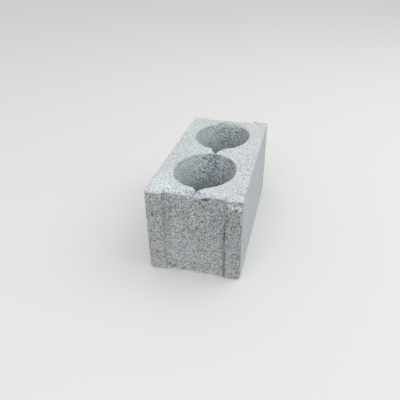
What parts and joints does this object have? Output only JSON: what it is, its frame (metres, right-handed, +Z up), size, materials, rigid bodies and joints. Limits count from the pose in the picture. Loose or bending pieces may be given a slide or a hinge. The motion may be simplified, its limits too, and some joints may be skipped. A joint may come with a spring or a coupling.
{
  "type": "hollow concrete block",
  "caption": "Rectangular cast concrete wall block with upright oval cores, a web between them and shallow panels down both end faces.",
  "frame": {"origin": "middle of the bed face, on the ground", "axes": "+Y along the block's length towards the far end, +X across its width, +Z up to the face with the core bar's marks"},
  "size_m": [0.19, 0.39, 0.188],
  "materials": {
    "concrete": "bare cast concrete, matt, coarse open grain"
  },
  "bodies": {
    "root": {"concrete_block": "concrete"}
  },
  "joints": []
}
